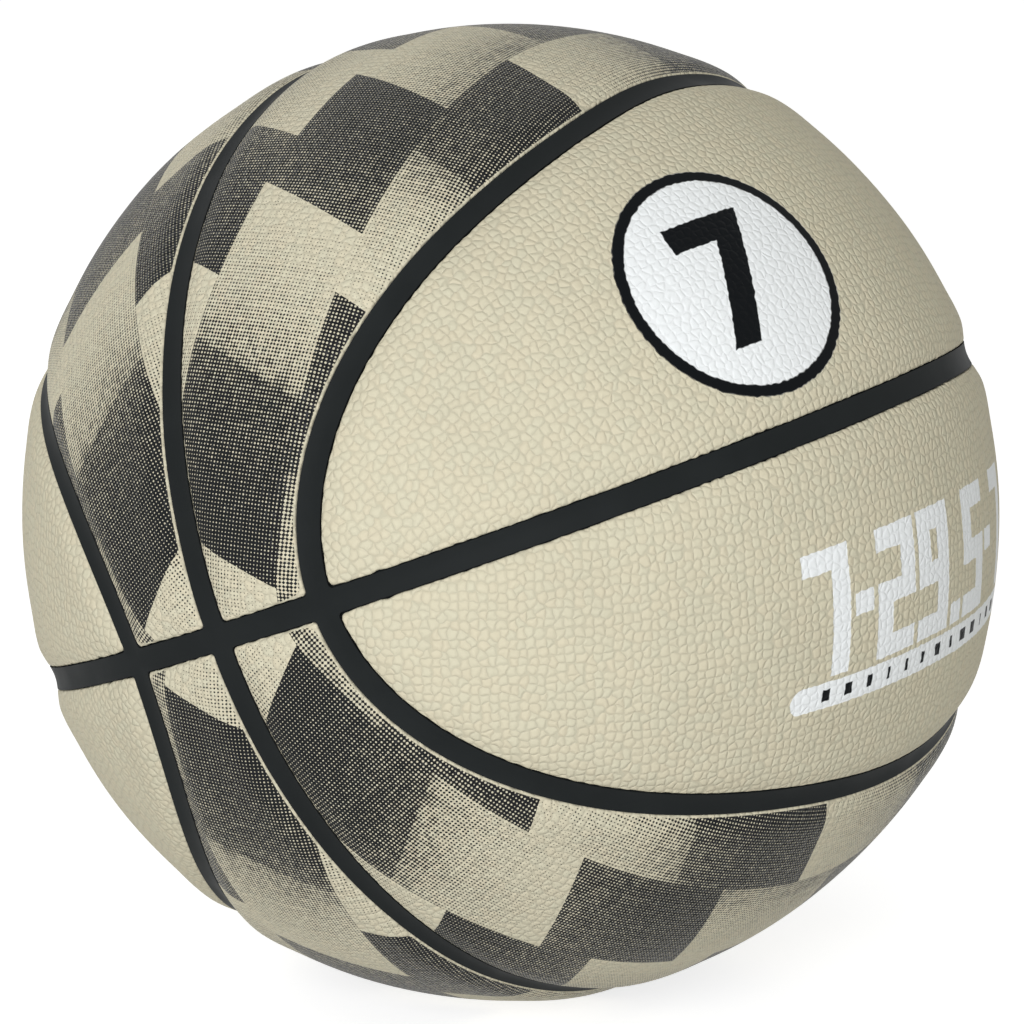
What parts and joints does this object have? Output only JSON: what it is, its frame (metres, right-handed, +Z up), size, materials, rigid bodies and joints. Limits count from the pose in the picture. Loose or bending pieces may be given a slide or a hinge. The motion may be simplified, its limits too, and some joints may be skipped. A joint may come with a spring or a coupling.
{
  "type": "slack basketball",
  "caption": "Slightly deflated basketball with tan and black printed cover panels, sunk black rubber channels and a small flat where it rests.",
  "frame": {"origin": "middle of the small flat that the slack ball rests on", "axes": "+Z up as the ball lies; the picture's view looks along +Y and slightly down, with +X to its right"},
  "size_m": [0.2384, 0.2389, 0.2369],
  "materials": {
    "plain_cover": "pebbled, satin",
    "printed_cover": "pebbled, printed, satin",
    "channel_rubber": "smooth, matt",
    "thread": "wound, matt",
    "bladder_rubber": "smooth, satin",
    "valve_rubber": "smooth, matt",
    "plug_rubber": "smooth, satin"
  },
  "bodies": {
    "root": {"plain_panel_right_upper": "plain_cover", "plain_panel_right_lower": "plain_cover", "plain_panel_left_upper": "plain_cover", "plain_panel_left_lower": "plain_cover", "printed_panel_right_upper": "printed_cover", "printed_panel_right_lower": "printed_cover", "printed_panel_left_upper": "printed_cover", "printed_panel_left_lower": "printed_cover", "carcass": "channel_rubber", "thread_winding": "thread", "bladder": "bladder_rubber", "valve_housing": "valve_rubber", "valve_plug": "plug_rubber"}
  },
  "joints": []
}
